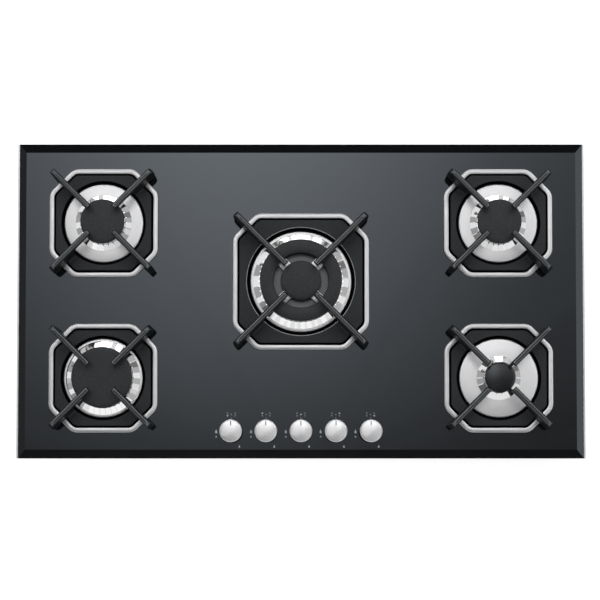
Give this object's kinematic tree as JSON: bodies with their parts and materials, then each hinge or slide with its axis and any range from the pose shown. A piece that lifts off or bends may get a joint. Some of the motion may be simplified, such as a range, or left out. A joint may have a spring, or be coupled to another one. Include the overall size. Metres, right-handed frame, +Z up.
{
  "type": "gas cooktop",
  "caption": "Gas cooktop with capped burners, cast pan supports in metal frames and turning knobs on a bevelled black glass top.",
  "frame": {"origin": "middle of the underside of the tray", "axes": "+X to the right, +Y to the back, +Z up; the glass top face is at z = 54 mm"},
  "size_m": [0.9, 0.5, 0.098],
  "materials": {
    "black_glass": "mirror-like tempered glass",
    "satin_aluminium": "satin",
    "seal_rubber": "soft foam strip",
    "tray_steel": "zinc-coated sheet",
    "disc_steel": "brushed",
    "crown_aluminium": "polished skirt, cast channel",
    "cast_aluminium": "as cast",
    "ceramic": "white ceramic",
    "probe_steel": "plain",
    "bolt_steel": "plated",
    "brass": "machined",
    "pipe_aluminium": "drawn",
    "rail_steel": "zinc-coated tube",
    "black_plastic": "moulded",
    "spindle_steel": "ground",
    "knob_metal": "brushed",
    "cast_iron": "matt black enamel",
    "foot_rubber": "moulded",
    "black_enamel": "satin black enamel"
  },
  "bodies": {
    "hob": {"glass_top": "black_glass", "side_trim_left": "satin_aluminium", "side_trim_right": "satin_aluminium", "perimeter_seal": "seal_rubber", "lower_tray": "tray_steel", "trim_frames": "satin_aluminium", "burner_discs": "disc_steel", "burner_heads": "crown_aluminium", "burner_bases": "cast_aluminium", "spark_electrodes": "ceramic", "thermocouples": "probe_steel", "burner_carriers": "tray_steel", "carrier_bolts": "bolt_steel", "injector_holders": "cast_aluminium", "injectors": "brass", "feed_pipes": "pipe_aluminium", "gas_rail": "rail_steel", "rail_brackets": "tray_steel", "inlet_elbow": "brass", "tap_bodies": "cast_aluminium", "tap_covers": "tray_steel", "ignition_module": "black_plastic", "mains_grommet": "black_plastic"},
    "tap_1": {"tap_plug_1": "brass"},
    "control_1": {"spindle_1": "spindle_steel", "knob_1": "knob_metal"},
    "tap_2": {"tap_plug_2": "brass"},
    "control_2": {"spindle_2": "spindle_steel", "knob_2": "knob_metal"},
    "tap_3": {"tap_plug_3": "brass"},
    "control_3": {"spindle_3": "spindle_steel", "knob_3": "knob_metal"},
    "tap_4": {"tap_plug_4": "brass"},
    "control_4": {"spindle_4": "spindle_steel", "knob_4": "knob_metal"},
    "tap_5": {"tap_plug_5": "brass"},
    "control_5": {"spindle_5": "spindle_steel", "knob_5": "knob_metal"},
    "support_rear_left": {"pan_support_rear_left": "cast_iron", "pan_support_feet_rear_left": "foot_rubber"},
    "support_rear_right": {"pan_support_rear_right": "cast_iron", "pan_support_feet_rear_right": "foot_rubber"},
    "support_centre": {"pan_support_centre": "cast_iron", "pan_support_feet_centre": "foot_rubber"},
    "support_front_left": {"pan_support_front_left": "cast_iron", "pan_support_feet_front_left": "foot_rubber"},
    "support_front_right": {"pan_support_front_right": "cast_iron", "pan_support_feet_front_right": "foot_rubber"},
    "cap_rear_left": {"burner_cap_rear_left": "black_enamel"},
    "cap_rear_right": {"burner_cap_rear_right": "black_enamel"},
    "cap_front_left": {"burner_cap_front_left": "black_enamel"},
    "cap_front_right": {"burner_cap_front_right": "black_enamel"},
    "cap_centre_ring": {"burner_cap_centre_ring": "black_enamel"},
    "cap_centre_inner": {"burner_cap_centre_inner": "black_enamel"}
  },
  "joints": [
    {"name": "control_1_turn", "type": "hinge", "parent": "hob", "child": "tap_1", "pos_m": [-0.11, -0.207, 0.03], "axis": [0, 0, 1], "range_deg": [0, 210]},
    {"name": "control_1_press", "type": "slide", "parent": "tap_1", "child": "control_1", "axis": [0, 0, -1], "range_m": [0, 0.003], "stiffness_N_per_m": 1500, "springref_m": -0.003},
    {"name": "control_2_turn", "type": "hinge", "parent": "hob", "child": "tap_2", "pos_m": [-0.055, -0.207, 0.03], "axis": [0, 0, 1], "range_deg": [0, 210]},
    {"name": "control_2_press", "type": "slide", "parent": "tap_2", "child": "control_2", "axis": [0, 0, -1], "range_m": [0, 0.003], "stiffness_N_per_m": 1500, "springref_m": -0.003},
    {"name": "control_3_turn", "type": "hinge", "parent": "hob", "child": "tap_3", "pos_m": [0, -0.207, 0.03], "axis": [0, 0, 1], "range_deg": [0, 210]},
    {"name": "control_3_press", "type": "slide", "parent": "tap_3", "child": "control_3", "axis": [0, 0, -1], "range_m": [0, 0.003], "stiffness_N_per_m": 1500, "springref_m": -0.003},
    {"name": "control_4_turn", "type": "hinge", "parent": "hob", "child": "tap_4", "pos_m": [0.055, -0.207, 0.03], "axis": [0, 0, 1], "range_deg": [0, 210]},
    {"name": "control_4_press", "type": "slide", "parent": "tap_4", "child": "control_4", "axis": [0, 0, -1], "range_m": [0, 0.003], "stiffness_N_per_m": 1500, "springref_m": -0.003},
    {"name": "control_5_turn", "type": "hinge", "parent": "hob", "child": "tap_5", "pos_m": [0.11, -0.207, 0.03], "axis": [0, 0, 1], "range_deg": [0, 210]},
    {"name": "control_5_press", "type": "slide", "parent": "tap_5", "child": "control_5", "axis": [0, 0, -1], "range_m": [0, 0.003], "stiffness_N_per_m": 1500, "springref_m": -0.003},
    {"name": "support_rear_left_lift", "type": "slide", "parent": "hob", "child": "support_rear_left", "axis": [0, 0, 1], "range_m": [0, 0.06]},
    {"name": "support_rear_right_lift", "type": "slide", "parent": "hob", "child": "support_rear_right", "axis": [0, 0, 1], "range_m": [0, 0.06]},
    {"name": "support_centre_lift", "type": "slide", "parent": "hob", "child": "support_centre", "axis": [0, 0, 1], "range_m": [0, 0.06]},
    {"name": "support_front_left_lift", "type": "slide", "parent": "hob", "child": "support_front_left", "axis": [0, 0, 1], "range_m": [0, 0.06]},
    {"name": "support_front_right_lift", "type": "slide", "parent": "hob", "child": "support_front_right", "axis": [0, 0, 1], "range_m": [0, 0.06]},
    {"name": "cap_rear_left_lift", "type": "slide", "parent": "hob", "child": "cap_rear_left", "axis": [0, 0, 1], "range_m": [0, 0.012]},
    {"name": "cap_rear_right_lift", "type": "slide", "parent": "hob", "child": "cap_rear_right", "axis": [0, 0, 1], "range_m": [0, 0.012]},
    {"name": "cap_front_left_lift", "type": "slide", "parent": "hob", "child": "cap_front_left", "axis": [0, 0, 1], "range_m": [0, 0.012]},
    {"name": "cap_front_right_lift", "type": "slide", "parent": "hob", "child": "cap_front_right", "axis": [0, 0, 1], "range_m": [0, 0.06]},
    {"name": "cap_centre_ring_lift", "type": "slide", "parent": "hob", "child": "cap_centre_ring", "axis": [0, 0, 1], "range_m": [0, 0.012]},
    {"name": "cap_centre_inner_lift", "type": "slide", "parent": "hob", "child": "cap_centre_inner", "axis": [0, 0, 1], "range_m": [0, 0.06]}
  ]
}
